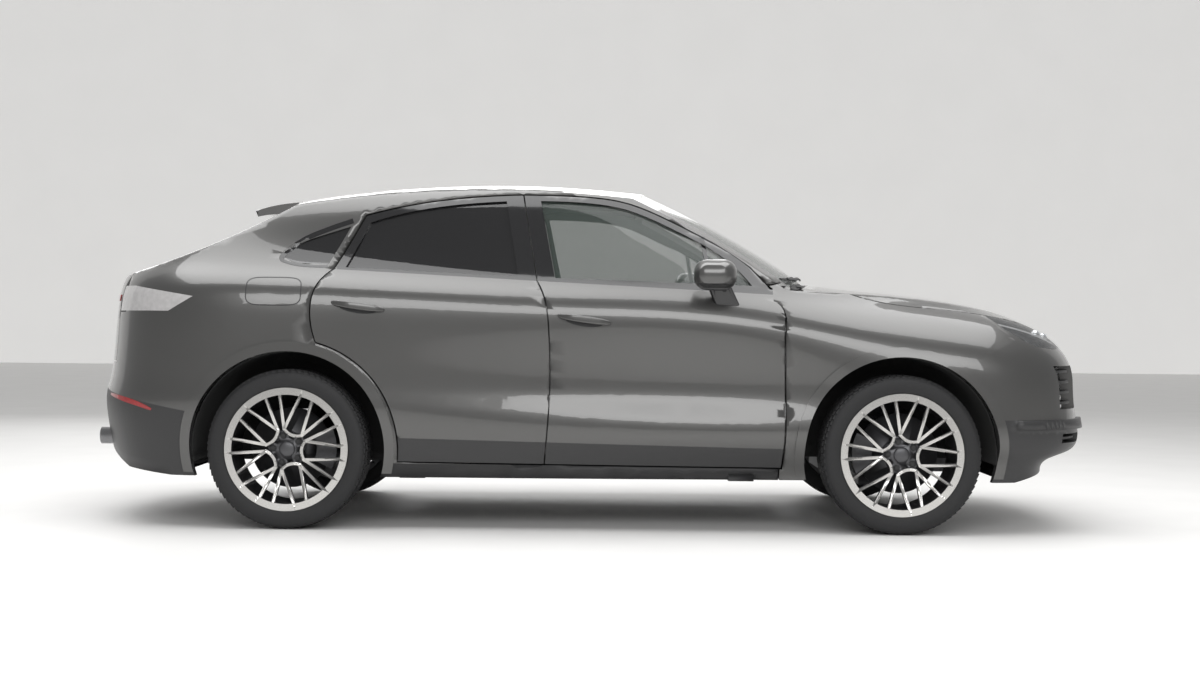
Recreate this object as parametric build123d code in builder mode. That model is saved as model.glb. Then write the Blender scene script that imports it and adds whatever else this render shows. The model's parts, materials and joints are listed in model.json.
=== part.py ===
"""Five-door sport utility vehicle with a sloping coupe roof.

Frame: millimetres, +Z up, +X to the front, +Y to the vehicle's left. The origin is on the
ground, below the middle of the overall length and width. The right side is drawn and the
left side is its mirror image.
"""

import os
from math import cos, radians, sin, sqrt

from build123d import *

os.makedirs("parts", exist_ok=True)

# Overall sizes
LENGTH = 4931
WHEELBASE = 2895
FRONT_OVERHANG = 955
ROOF_HEIGHT = 1692
FRONT_AXLE_X = LENGTH / 2 - FRONT_OVERHANG
REAR_AXLE_X = FRONT_AXLE_X - WHEELBASE

# The body is drawn from this X, and set back by it so that the middle of the length is at zero
DATUM_X = 20.5

# Wheels
TYRE_RADIUS = 376
WHEEL_Y = 836
WHEEL_Z = TYRE_RADIUS
BOLT_CIRCLE = 130
BOLT_COUNT = 5
BOLT_ANGLE = 39
HUB_FACE = 100
SPOKE_FACE = 124
SPOKE_DEPTH = 30
SPOKE_WIDTH = 14
SPOKE_SPREAD = (6.5, 28.5)
APEX_RADIUS = 97
APEX_ANGLE = 27
LOOP_RADIUS = 72
DISC_RADIUS = 190
CALIPER_IN = 130
CALIPER_OUT = 224
CALIPER_HALF = radians(26)
SPINDLE_RADIUS = 22
KINGPIN_RADIUS = 12
KINGPIN_OFFSET = 62
BALL_HEIGHT = 140
ARM_END = WHEEL_Y - KINGPIN_OFFSET - 1
RUNNING_FIT = 0.05

# Arches, shut lines and glass
ARCH_RADIUS = 458
LINER_WALL = 6
SHUT = 3.5
SWING_ROOM = 2
GLASS = 6
A_PILLAR_X = 900
B_PILLAR_X = -170
FLOOR_Z = 330
FLOOR_WALL = 40
JACK_XS = (760, -800)
JACK_Y = 845
JACK_Z = 240

# Hinges
GATE_AXIS = (-1386, 1582)
GATE_SEAM_X = -1404
GATE_EDGE_X = -1410.5
GATE_ARM_Y = 200
GATE_ARM_WIDTH = 36
HOOD_AXIS = (1060, 1160)
PIN_RADIUS = 5
FRONT_HINGE = (905, -945)
REAR_HINGE = (-197, -945)
HINGE_EYE_RADIUS = 7.5
HINGE_HEIGHTS = (520, 940)
HOOD_HINGE_Y = 560

# Nose
INTAKE_Y = 695
INTAKE_Z = 697
FOG_SLOT_Z = 454
LIP_REACH = 24
TOW_EYE = (2415, -330, 800)
TOW_EYE_RADIUS = 8
TOW_EYE_DEPTH = 60
SIDE = Plane.XZ

# Plan sections of the body from the sill up: the height and forward slope of each, where it meets
# the centre line at the nose and tail, its corners, and its half width at the axles and pillars
class PlanLevel:
    def __init__(self, z, tilt, nose, nose_corner, front, a_post, b_post, rear, tail_corner, tail):
        self.plane = Plane(origin=(0, 0, z), x_dir=(1, 0, tilt), z_dir=(-tilt, 0, 1))
        self.points = (
            (nose, 0),
            nose_corner,
            (FRONT_AXLE_X, front),
            (A_PILLAR_X, a_post),
            (B_PILLAR_X, b_post),
            (REAR_AXLE_X, rear),
            tail_corner,
            (tail, 0),
        )


LEVELS = (
    PlanLevel(180, 0, 2345, (2230, 740), 905, 925, 925, 905, (-2100, 770), -2330),
    PlanLevel(420, -0.012, 2448, (2335, 750), 950, 956, 956, 955, (-2200, 780), -2435),
    PlanLevel(640, -0.020, 2466, (2352, 750), 975, 946, 944, 975, (-2200, 790), -2425),
    PlanLevel(850, -0.030, 2454, (2338, 740), 970, 953, 950, 975, (-2170, 800), -2398),
    PlanLevel(1010, -0.044, 2385, (2262, 700), 925, 958, 958, 970, (-2152, 790), -2380),
    PlanLevel(1100, -0.044, 2260, (2090, 670), 835, 918, 928, 935, (-2125, 750), -2360),
    PlanLevel(1170, -0.044, 2130, (1900, 575), 715, 858, 870, 855, (-2090, 680), -2345),
    PlanLevel(1400, -0.020, 1950, (1740, 390), 510, 690, 768, 735, (-1990, 580), -2300),
    PlanLevel(1620, 0, 1850, (1660, 290), 370, 530, 655, 590, (-1900, 470), -2250),
    PlanLevel(1760, 0, 1800, (1630, 250), 310, 460, 585, 510, (-1850, 410), -2200),
)

# Body form seen in plan
with BuildPart() as side_form:
    for level in LEVELS:
        with BuildSketch(level.plane):
            with BuildLine():
                Spline(*level.points, tangents=((0, 1), (0, -1)), tangent_scalars=(0.4, 0.4))
                mirror(about=Plane.XZ)
            make_face()
    loft()


def top_section(y):
    """Profile points of the hood, screen, roof and tail at one distance from the centre line."""
    drop = (y / 1000) ** 2
    return dict(
        low_nose=(2700, 560),
        hood_front=(2340 - 40 * drop, 965 - 90 * drop),
        hood_mid=(1900, 1110 - 90 * drop),
        cowl=(1125 - 230 * drop, 1200 - 75 * drop),
        screen_mid=(735 - 200 * drop, 1440 - 110 * drop),
        screen_top=(300 - 150 * drop, 1652 - 140 * drop),
        roof_mid=(-390, ROOF_HEIGHT - 150 * drop),
        roof_end=(-1395, 1606 - 140 * drop),
        back_mid=(-1800, 1402 - 115 * drop),
        tail_top=(-2300, 1200 - 70 * drop),
        low_tail=(-2700, 1190 - 70 * drop),
    )


# Body form seen from the side
with BuildPart() as top_form:
    for y in (1050, 525, 0, -525, -1050):
        p = top_section(y)
        with BuildSketch(SIDE.offset(-y)):
            with BuildLine():
                Spline(p["low_nose"], p["hood_front"], p["hood_mid"], p["cowl"])
                Spline(p["cowl"], p["screen_mid"], p["screen_top"])
                Spline(p["screen_top"], p["roof_mid"], p["roof_end"])
                Spline(p["roof_end"], p["back_mid"], p["tail_top"])
                Polyline(p["tail_top"], p["low_tail"], (-2700, 540), (-2440, 425), (-2330, 345))
                Polyline((-2330, 345), (-2180, 270), (-1940, 245), (2060, 245), (2280, 300))
                Polyline((2280, 300), (2380, 362), (2455, 415), p["low_nose"])
            make_face()
    loft()

with BuildPart() as envelope:
    add(side_form.part)
    add(top_form.part, mode=Mode.INTERSECT)

# Inner faces of the doors, of the door seat and of the cabin lining
door_inner = scale(side_form.part, by=(1, 0.925, 1), mode=Mode.PRIVATE)
seat_form = scale(side_form.part, by=(1, 0.917, 1), mode=Mode.PRIVATE)
lining_form = scale(side_form.part, by=(1, 0.875, 1), mode=Mode.PRIVATE)

with BuildPart() as cabin_form:
    add(lining_form)
    add(top_form.part.moved(Location((0, 0, -38))), mode=Mode.INTERSECT)
    with Locations((-575, 0, FLOOR_Z)):
        Box(3150, 2000, 1500, align=(Align.CENTER, Align.CENTER, Align.MIN), mode=Mode.INTERSECT)


def front_door_edge(grow):
    """Closed side-view outline of the front door, grown outwards on every side."""
    g = grow
    with BuildSketch(SIDE) as sketch:
        with BuildLine():
            Line((-173 - g, 313 - g), (950 + g, 303 - g))
            Spline((950 + g, 303 - g), (958 + g, 480), (956 + g, 819), (955 + g, 963), (990 + g, 1148 + g))
            Line((990 + g, 1148 + g), (894 + g, 1155 + g))
            Spline(
                (894 + g, 1155 + g),
                (835, 1222 + g),
                (461, 1460 + g),
                (194, 1571 + g),
                (27, 1595 + g),
                (-292 - g, 1603 + g),
            )
            Line((-292 - g, 1603 + g), (-217 - g, 1180))
            Spline((-217 - g, 1180), (-182 - g, 1107), (-156 - g, 940), (-151 - g, 619), (-173 - g, 313 - g))
        make_face()
    return sketch.sketch


def rear_door_edge(grow):
    """Closed side-view outline of the rear door, which follows the arch trim."""
    g = grow
    r = 520 - g
    low_x = REAR_AXLE_X + sqrt(r**2 - (WHEEL_Z - 318 + g) ** 2)
    middle = (REAR_AXLE_X + r * cos(radians(35)), WHEEL_Z + r * sin(radians(35)))
    high = (REAR_AXLE_X + r * cos(radians(75)), WHEEL_Z + r * sin(radians(75)))
    with BuildSketch(SIDE) as sketch:
        with BuildLine():
            Line((-173 + g, 313 - g), (low_x, 318 - g))
            ThreePointArc((low_x, 318 - g), middle, high)
            Spline(high, (-1274 - g, 965), (-1278 - g, 1050), (-1258 - g, 1139), (-1185 - g, 1231))
            Line((-1185 - g, 1231), (-1051 - g, 1494 + g))
            Spline((-1051 - g, 1494 + g), (-766, 1559 + g), (-567, 1586 + g), (-292 + g, 1603 + g))
            Line((-292 + g, 1603 + g), (-217 + g, 1180))
            Spline((-217 + g, 1180), (-182 + g, 1107), (-156 + g, 940), (-151 + g, 619), (-173 + g, 313 - g))
        make_face()
    return sketch.sketch


def front_window_edge(grow):
    g = grow
    with BuildSketch(SIDE) as sketch:
        with BuildLine():
            Line((-132 - g, 1196 - g), (806 + g, 1168 - g))
            Spline(
                (806 + g, 1168 - g),
                (640, 1326 + g),
                (448, 1433 + g),
                (186, 1541 + g),
                (27, 1565 + g),
                (-208 - g, 1573 + g),
            )
            Line((-208 - g, 1573 + g), (-132 - g, 1196 - g))
        make_face()
    return sketch.sketch


def rear_window_edge(grow):
    g = grow
    with BuildSketch(SIDE) as sketch:
        with BuildLine():
            Line((-308 + g, 1203 - g), (-1132 - g, 1238 - g))
            Line((-1132 - g, 1238 - g), (-1026 - g, 1458 + g))
            Spline((-1026 - g, 1458 + g), (-766, 1527 + g), (-567, 1555 + g), (-374 + g, 1570 + g))
            Line((-374 + g, 1570 + g), (-308 + g, 1203 - g))
        make_face()
    return sketch.sketch


def quarter_window_edge(grow):
    g = grow
    with BuildSketch(SIDE) as sketch:
        with BuildLine():
            Line((-1216 + g, 1250 - g), (-1330, 1256 - g))
            Spline(
                (-1330, 1256 - g),
                (-1400, 1268 - g),
                (-1430 - g, 1288),
                (-1345, 1360 + g),
                (-1108 + g, 1462 + g),
            )
            Line((-1108 + g, 1462 + g), (-1216 + g, 1250 - g))
        make_face()
    return sketch.sketch


def pane(edge, depth):
    """One side window: a thin slab a little below the body form, inside the given outline."""
    with BuildPart() as slab:
        add(side_form.part.moved(Location((0, depth, 0))))
        extrude(edge, amount=1200, mode=Mode.INTERSECT)
        add(side_form.part.moved(Location((0, depth + GLASS, 0))), mode=Mode.SUBTRACT)
    return slab.part


# Room left round the inner part of each door, so that it swings clear of its seat
step_form = scale(side_form.part, by=(1, 0.974, 1), mode=Mode.PRIVATE)


def door_step(edge):
    with BuildPart() as step:
        add(step_form)
        extrude(edge, amount=1200, mode=Mode.SUBTRACT)
        with Locations((0, -600, 250)):
            Box(3200, 1200, 870, align=(Align.CENTER, Align.CENTER, Align.MIN), mode=Mode.INTERSECT)
    return step.part


def hinge_slots(hinge, reach):
    """Slots in a door's front edge for the hinge arms of the pillar."""
    with BuildPart() as slots:
        for z in HINGE_HEIGHTS:
            with Locations((hinge[0] - 24, hinge[1] - HINGE_EYE_RADIUS - 0.8, z)):
                Box(reach, 120, 36, align=(Align.MIN, Align.MIN, Align.CENTER))
    return slots.part


def hinge_pins(hinge):
    with BuildPart() as pins:
        for z in HINGE_HEIGHTS:
            with Locations((hinge[0], hinge[1], z)):
                Cylinder(PIN_RADIUS, 44)
    return pins.part


# The door's upper front corner lies inside the hinge line, so its edge and the fender's follow
# cylinders about the hinge: radius and height, from the shoulder to the foot of the screen post
CORNER_RADII = ((55, 1020), (56, 1060), (60, 1100), (83, 1130), (105, 1150), (128, 1180))
CORNER_SKIN = 0.985
hinge_section = Plane((FRONT_HINGE[0], FRONT_HINGE[1], 0), x_dir=(1, 0, 0), z_dir=(0, -1, 0))


def corner_swing(gap):
    with BuildPart() as swing:
        with BuildSketch(hinge_section):
            with BuildLine():
                Polyline(*[(radius + gap, z) for radius, z in CORNER_RADII])
                Polyline((128 + gap, 1180), (0, 1180), (0, 1020), (55 + gap, 1020))
            make_face()
        revolve(axis=Axis((FRONT_HINGE[0], FRONT_HINGE[1], 0), (0, 0, 1)))
    return swing.part


# Inside of the corner, hollowed so that door and fender are thin there
with BuildPart() as corner_hollow:
    add(scale(side_form.part, by=(1, CORNER_SKIN, 1), mode=Mode.PRIVATE))
    with Locations((930, -500, 1008)):
        Box(260, 1200, 163, align=(Align.CENTER, Align.CENTER, Align.MIN), mode=Mode.INTERSECT)


def corner_ahead(gap):
    with BuildPart() as ahead:
        with Locations((FRONT_HINGE[0], -800, 1020)):
            Box(200, 600, 160, align=(Align.MIN, Align.CENTER, Align.MIN))
        add(corner_swing(gap), mode=Mode.SUBTRACT)
    return ahead.part


# Front door on the right side
with BuildPart() as door_front_right:
    add(envelope.part)
    extrude(front_door_edge(-SHUT), amount=1200, mode=Mode.INTERSECT)
    add(door_inner, mode=Mode.SUBTRACT)
    add(door_step(front_door_edge(-SHUT - 30)), mode=Mode.SUBTRACT)
    add(corner_hollow.part, mode=Mode.SUBTRACT)
    add(corner_ahead(-SHUT), mode=Mode.SUBTRACT)
    add(hinge_slots(FRONT_HINGE, 100), mode=Mode.SUBTRACT)
    add(hinge_pins(FRONT_HINGE))
    extrude(front_window_edge(0), amount=1200, mode=Mode.SUBTRACT)

with BuildPart() as glass_front_right:
    add(pane(front_window_edge(-0.5), 14))

# Rear door on the right side
with BuildPart() as door_rear_right:
    add(envelope.part)
    extrude(rear_door_edge(-SHUT), amount=1200, mode=Mode.INTERSECT)
    add(door_inner, mode=Mode.SUBTRACT)
    add(door_step(rear_door_edge(-SHUT - 30)), mode=Mode.SUBTRACT)
    add(hinge_slots(REAR_HINGE, 100), mode=Mode.SUBTRACT)
    add(hinge_pins(REAR_HINGE))
    extrude(rear_window_edge(0), amount=1200, mode=Mode.SUBTRACT)

with BuildPart() as glass_rear_right:
    add(pane(rear_window_edge(-0.5), 14))

with BuildPart() as quarter_glass_right:
    add(pane(quarter_window_edge(-0.5), 8))


# Wheel openings, cut from every panel they meet
with BuildPart() as wheel_openings:
    for axle_x in (FRONT_AXLE_X, REAR_AXLE_X):
        for side in (-1, 1):
            with Locations(Location((axle_x, side * 800, WHEEL_Z + 4), (90, 0, 0))):
                Cylinder(ARCH_RADIUS, 640)


def mirrored_plan(front, side, rear, low=0, high=1900):
    """Prism over a symmetric plan outline: a front curve, a side line and a rear curve."""
    with BuildPart() as prism:
        with BuildSketch(Plane.XY.offset(low)):
            with BuildLine():
                Spline(*front, tangents=((0, -1), (front[-1][0] - front[-2][0], front[-1][1] - front[-2][1])))
                Spline(front[-1], *side, rear[-1])
                Spline(*rear, tangents=((0, -1), (rear[-1][0] - rear[-2][0], rear[-1][1] - rear[-2][1])))
                mirror(about=Plane.XZ)
            make_face()
        extrude(amount=high - low)
    return prism.part


def hood_plan(g, low=700):
    return mirrored_plan(
        ((2356 + g, 0), (2322 + g, -380 - g), (2225 + g, -560 - g)),
        ((2090, -645 - g), (1900, -705 - g), (1500, -745 - g)),
        ((1150 - g, 0), (1122 - g, -400), (1052 - g, -722 - g)),
        low=low,
    )


def screen_plan(g):
    return mirrored_plan(
        ((1108 + g, 0), (1075 + g, -400), (995 + g, -705 - g)),
        ((640, -640 - g),),
        ((318 - g, 0), (302 - g, -300), (270 - g, -562 - g)),
        low=1000,
    )


def roof_plan(g):
    return mirrored_plan(
        ((317 + g, 0), (301 + g, -300), (269 + g, -545 - g)),
        ((-200, -580 - g), (-800, -560 - g)),
        ((GATE_SEAM_X + 2.5 - g, 0), (GATE_SEAM_X + 2.4 - g, -300), (GATE_SEAM_X + 2 - g, -470 - g)),
        low=1200,
    )


def roof_glass_plan(g):
    return mirrored_plan(
        ((215 + g, 0), (205 + g, -250), (185 + g, -455 - g)),
        ((-300, -485 - g),),
        ((-1010 - g, 0), (-1008 - g, -250), (-1000 - g, -450 - g)),
        low=1200,
    )


def gate_plan(g):
    return mirrored_plan(
        ((GATE_SEAM_X + 1.5 + g, 0), (GATE_SEAM_X + 1.4 + g, -300), (GATE_SEAM_X + 1 + g, -478 - g)),
        ((-1800, -575 - g), (-2200, -640 - g)),
        ((-2650, 0), (-2650, -300), (-2650, -650 - g)),
        low=700,
    )


def shell(thick_x, thick_z):
    """The body form moved back and down, to hollow a panel from inside."""
    return envelope.part.moved(Location((thick_x, 0, thick_z)))


# Hood
with BuildPart() as hood:
    add(envelope.part)
    add(hood_plan(-SHUT), mode=Mode.INTERSECT)
    add(shell(-18, -24), mode=Mode.SUBTRACT)
    for side in (-1, 1):
        with BuildSketch(SIDE.offset(-side * HOOD_HINGE_Y - 6)):
            with BuildLine():
                Polyline(
                    (HOOD_AXIS[0] - 6.5, HOOD_AXIS[1] - 6.5),
                    (HOOD_AXIS[0] - 6.5, HOOD_AXIS[1] + 6.5),
                    (1100, 1166),
                    (1180, 1160),
                    (1180, 1136),
                    (1090, 1136),
                    close=True,
                )
            make_face()
        extrude(amount=12)
        with Locations(Location((HOOD_AXIS[0], side * HOOD_HINGE_Y, HOOD_AXIS[1]), (90, 0, 0))):
            Cylinder(PIN_RADIUS, 52)

# Roof panel and the fixed glass set in it
with BuildPart() as roof_panel:
    add(envelope.part)
    add(roof_plan(-0.5), mode=Mode.INTERSECT)
    add(shell(0, -30), mode=Mode.SUBTRACT)
    add(roof_glass_plan(0), mode=Mode.SUBTRACT)
    for side in (-1, 1):
        with Locations((GATE_AXIS[0] + 14, side * GATE_ARM_Y, GATE_AXIS[1])):
            Box(60, GATE_ARM_WIDTH + 8, 90, align=(Align.MAX, Align.CENTER, Align.CENTER), mode=Mode.SUBTRACT)
        with Locations(Location((GATE_AXIS[0], side * GATE_ARM_Y, GATE_AXIS[1]), (90, 0, 0))):
            Cylinder(PIN_RADIUS + RUNNING_FIT, GATE_ARM_WIDTH + 44, mode=Mode.SUBTRACT)

with BuildPart() as roof_glass:
    add(envelope.part)
    add(roof_glass_plan(-0.5), mode=Mode.INTERSECT)
    add(shell(0, -8), mode=Mode.SUBTRACT)

# Windscreen
with BuildPart() as windscreen:
    add(envelope.part)
    add(screen_plan(-0.5), mode=Mode.INTERSECT)
    add(shell(-5, -8), mode=Mode.SUBTRACT)

# Tailgate with its window
with BuildPart() as gate_form:
    add(envelope.part)
    add(gate_plan(-SHUT), mode=Mode.INTERSECT)
    with Locations((GATE_EDGE_X, 0, 778)):
        Box(1400, 2000, 1200, align=(Align.MAX, Align.CENTER, Align.MIN), mode=Mode.INTERSECT)


def back_window_plan(g):
    return mirrored_plan(
        ((-1500 + g, 0), (-1498 + g, -250), (-1490 + g, -415 - g)),
        ((-1800, -485 - g),),
        ((-2130 - g, 0), (-2128 - g, -250), (-2110 - g, -545 - g)),
        low=1100,
    )


# Space that the roof's rear edge sweeps in the tailgate as it opens
with BuildPart() as hinge_sweep:
    hinge_plane = Plane(origin=(GATE_AXIS[0], 0, GATE_AXIS[1]), x_dir=(0, 1, 0), z_dir=(1, 0, 0))
    with BuildSketch(hinge_plane):
        with BuildLine():
            Spline((-520, 22), (0, 31.5), (520, 22))
            Polyline((520, 22), (520, 0), (-520, 0), (-520, 22))
        make_face()
    revolve(axis=Axis((GATE_AXIS[0], 0, GATE_AXIS[1]), (0, 1, 0)))

with BuildPart() as tailgate:
    add(gate_form.part)
    add(shell(58, -34), mode=Mode.SUBTRACT)
    add(back_window_plan(0), mode=Mode.SUBTRACT)
    add(hinge_sweep.part, mode=Mode.SUBTRACT)
    for side in (-1, 1):
        with BuildSketch(SIDE.offset(-side * GATE_ARM_Y - GATE_ARM_WIDTH / 2)):
            with BuildLine():
                Polyline(
                    (GATE_AXIS[0], GATE_AXIS[1] + 10),
                    (GATE_AXIS[0] - 50, GATE_AXIS[1] - 7),
                    (GATE_AXIS[0] - 50, GATE_AXIS[1] - 24),
                    (GATE_AXIS[0], GATE_AXIS[1] - 10),
                    close=True,
                )
            make_face()
        extrude(amount=GATE_ARM_WIDTH)
        with Locations(Location((GATE_AXIS[0], side * GATE_ARM_Y, GATE_AXIS[1]), (90, 0, 0))):
            Cylinder(10, GATE_ARM_WIDTH)
            Cylinder(PIN_RADIUS, GATE_ARM_WIDTH + 24)

with BuildPart() as rear_glass:
    add(gate_form.part)
    add(back_window_plan(-0.5), mode=Mode.INTERSECT)
    add(shell(3, -7), mode=Mode.SUBTRACT)

# Cutters that split the front and rear ends
NOSE_LOW = ((2700, 200), (1700, 200), (1700, 770), (1830, 812), (2059, 922))
NOSE_SEAM = NOSE_LOW + ((1908, 1072), (1890, 1300), (2700, 1300))
LAMP_LOW = ((1908, 1072), (2024, 970), (2095, 924), (2178, 889), (2271, 878), (2342, 885), (2700, 900))
LAMP_SEAM = LAMP_LOW + ((2700, 1300), (1890, 1300))
TAIL_SEAM = ((-1560, 200), (-1560, 862), (-1830, 1088), (-1950, 1016), (-2700, 1016), (-2700, 200))
TAIL_LAMP = ((-1830, 1092), (-1950, 1022), (-2700, 1022), (-2700, 1142), (-2149, 1142))


def side_prism(points, near=0, far=1200):
    with BuildPart() as prism:
        with BuildSketch(SIDE.offset(near)):
            with BuildLine():
                Polyline(*points, close=True)
            make_face()
        extrude(amount=far - near)
    return prism.part


nose_cut = side_prism(NOSE_SEAM, -1200, 1200)
lamp_cut = side_prism(LAMP_SEAM, 426)
tail_lower = side_prism(TAIL_SEAM, -1200, 1200)

# Headlamp on the right side
with BuildPart() as headlamp_right:
    add(envelope.part)
    add(nose_cut, mode=Mode.INTERSECT)
    add(side_prism(LAMP_SEAM, 430), mode=Mode.INTERSECT)
    add(hood_plan(2), mode=Mode.SUBTRACT)
    add(shell(-70, -10), mode=Mode.SUBTRACT)

# Tail lamp on the right side
with BuildPart() as tail_lamp_right:
    add(envelope.part)
    add(side_prism(TAIL_LAMP, 652), mode=Mode.INTERSECT)
    add(shell(60, 0), mode=Mode.SUBTRACT)

# Room for the windscreen post inside the fender
with BuildPart() as post_room:
    add(seat_form)
    with Locations((900, 0, 0)):
        Box(340, 3000, 4000, mode=Mode.INTERSECT)

with BuildPart() as fender_door_cut:
    extrude(front_door_edge(SHUT + SWING_ROOM), amount=1200)
    add(corner_ahead(SHUT), mode=Mode.SUBTRACT)

# Front fender on the right side
with BuildPart() as fender_right:
    add(envelope.part)
    with Locations((1500, -1200, 0)):
        Box(1300, 560, 1500, align=(Align.CENTER, Align.MIN, Align.MIN), mode=Mode.INTERSECT)
    add(nose_cut, mode=Mode.SUBTRACT)
    add(hood_plan(SHUT, 100), mode=Mode.SUBTRACT)
    add(fender_door_cut.part, mode=Mode.SUBTRACT)
    add(corner_hollow.part, mode=Mode.SUBTRACT)
    add(corner_swing(SHUT), mode=Mode.SUBTRACT)
    add(wheel_openings.part, mode=Mode.SUBTRACT)
    add(side_prism(((800, 1172), (905, 1172), (1070, 1215), (1070, 1500), (800, 1500))), mode=Mode.SUBTRACT)
    add(post_room.part, mode=Mode.SUBTRACT)
    with Locations((890, -800, 0)):
        Box(106, 1000, 640, mode=Mode.SUBTRACT)

# Seats of the two doors and the lap of the fender, cut from the body side
with BuildPart() as door_seat:
    add(side_form.part)
    extrude(front_door_edge(SHUT), amount=1200, mode=Mode.INTERSECT)
    add(seat_form, mode=Mode.SUBTRACT)

with BuildPart() as rear_door_seat:
    add(side_form.part)
    extrude(rear_door_edge(SHUT), amount=1200, mode=Mode.INTERSECT)
    add(seat_form, mode=Mode.SUBTRACT)

POST_LOW = ((1120, 200), (938, 200), (938, 306), (915, 306), (915, 700))
POST_SEAM = POST_LOW + ((880, 1178), (903, 1178), (1076, 1223))
with BuildPart() as fender_lap:
    add(side_form.part)
    add(side_prism(POST_SEAM), mode=Mode.INTERSECT)
    add(seat_form, mode=Mode.SUBTRACT)

# Body side on the right: sill, pillars, roof rail and rear quarter in one pressing
with BuildPart() as body_side_right:
    add(envelope.part)
    with Locations((-600, -600, 0)):
        Box(3200, 1200, 3600, mode=Mode.INTERSECT)
    add(cabin_form.part, mode=Mode.SUBTRACT)
    add(door_seat.part, mode=Mode.SUBTRACT)
    add(rear_door_seat.part, mode=Mode.SUBTRACT)
    extrude(front_door_edge(-42), amount=1200, mode=Mode.SUBTRACT)
    extrude(rear_door_edge(-42), amount=1200, mode=Mode.SUBTRACT)
    extrude(quarter_window_edge(0), amount=1200, mode=Mode.SUBTRACT)
    add(fender_lap.part, mode=Mode.SUBTRACT)
    add(wheel_openings.part, mode=Mode.SUBTRACT)
    add(roof_plan(0.5), mode=Mode.SUBTRACT)
    add(screen_plan(0.5), mode=Mode.SUBTRACT)
    add(gate_plan(SHUT), mode=Mode.SUBTRACT)
    add(tail_lower, mode=Mode.SUBTRACT)
    add(side_prism(TAIL_LAMP, 645), mode=Mode.SUBTRACT)
    with Locations((0, 0, 0)):
        Box(6000, 1560, 2 * (FLOOR_Z + 6), mode=Mode.SUBTRACT)
    with Locations((-600, 0, 1400)):
        Box(2600, 900, 1200, mode=Mode.SUBTRACT)
    for jack_x in JACK_XS:
        with Locations((jack_x, -JACK_Y, JACK_Z)):
            Box(120, 70, 30, align=(Align.CENTER, Align.CENTER, Align.MIN))
    for hinge in (FRONT_HINGE, REAR_HINGE):
        for z in HINGE_HEIGHTS:
            with Locations((hinge[0] + 12, hinge[1] + 80, z)):
                Box(48, 20, 30)
            with Locations((hinge[0], hinge[1] + 40, z)):
                Box(11, 84, 30)
            with Locations((hinge[0], hinge[1], z)):
                Cylinder(HINGE_EYE_RADIUS, 30)
                Cylinder(PIN_RADIUS + RUNNING_FIT, 30, mode=Mode.SUBTRACT)

# Inner face of both bumper skins
end_inner = scale(envelope.part, by=(0.977, 0.955, 0.985), mode=Mode.PRIVATE)

# Blade that stands forward of the nose below the intakes
with BuildPart() as front_lip:
    add(envelope.part.moved(Location((LIP_REACH, 0, 0))))
    with Locations((2400, 0, 521)):
        Box(700, 2200, 46, mode=Mode.INTERSECT)
    add(end_inner, mode=Mode.SUBTRACT)

# Front bumper skin with its air intakes
with BuildPart() as front_bumper:
    add(envelope.part)
    add(nose_cut, mode=Mode.INTERSECT)
    add(hood_plan(SHUT), mode=Mode.SUBTRACT)
    add(lamp_cut, mode=Mode.SUBTRACT)
    add(mirror(lamp_cut, about=Plane.XZ, mode=Mode.PRIVATE), mode=Mode.SUBTRACT)
    add(end_inner, mode=Mode.SUBTRACT)
    add(wheel_openings.part, mode=Mode.SUBTRACT)
    add(front_lip.part)
    with Locations((2400, 0, 545)):
        Box(500, 1000, 190, mode=Mode.SUBTRACT)
    for side in (-1, 1):
        with Locations((2300, side * INTAKE_Y, INTAKE_Z)):
            Box(500, 278, 206, mode=Mode.SUBTRACT)
        with Locations((2300, side * INTAKE_Y, FOG_SLOT_Z)):
            Box(500, 250, 44, mode=Mode.SUBTRACT)
    with Locations(Location(TOW_EYE, (0, 90, 0))):
        Cylinder(26, 400, mode=Mode.SUBTRACT)

# Rear bumper skin
with BuildPart() as rear_bumper:
    add(envelope.part)
    add(tail_lower, mode=Mode.INTERSECT)
    add(end_inner, mode=Mode.SUBTRACT)
    with Locations((-2400, 0, 772)):
        Box(900, 1300, 400, align=(Align.CENTER, Align.CENTER, Align.MIN), mode=Mode.SUBTRACT)
    add(wheel_openings.part, mode=Mode.SUBTRACT)
    for side in (-1, 1):
        with Locations(Location((-2350, side * 440, 400), (0, 90, 0))):
            Cylinder(50, 400, mode=Mode.SUBTRACT)
    with Locations((-2412, 0, 640)):
        Box(200, 530, 120, align=(Align.MAX, Align.CENTER, Align.CENTER), mode=Mode.SUBTRACT)


# Floor pressing with the rear wheel houses and the load deck
def wheel_house(axle_x, side, inner_y, low):
    """Shell round one wheel opening, closed towards the middle of the vehicle."""
    with BuildPart() as house:
        with Locations(Location((axle_x, side * (inner_y + 905) / 2, WHEEL_Z + 4), (90, 0, 0))):
            Cylinder(ARCH_RADIUS - 0.3, 905 - inner_y)
        with Locations(Location((axle_x, side * (inner_y + LINER_WALL + 1000) / 2, WHEEL_Z + 4), (90, 0, 0))):
            Cylinder(ARCH_RADIUS - LINER_WALL, 1000 - inner_y - LINER_WALL, mode=Mode.SUBTRACT)
        with Locations((axle_x, side * 700, low)):
            Box(1200, 1000, 1200, align=(Align.CENTER, Align.CENTER, Align.MAX), mode=Mode.SUBTRACT)
        with Locations(Location((axle_x, side * inner_y, WHEEL_Z), (90, 0, 0))):
            Cylinder(215, 60, mode=Mode.SUBTRACT)
        with Locations((axle_x, side * inner_y, 0)):
            Box(430, 60, 2 * WHEEL_Z, mode=Mode.SUBTRACT)
    return house.part


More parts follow.
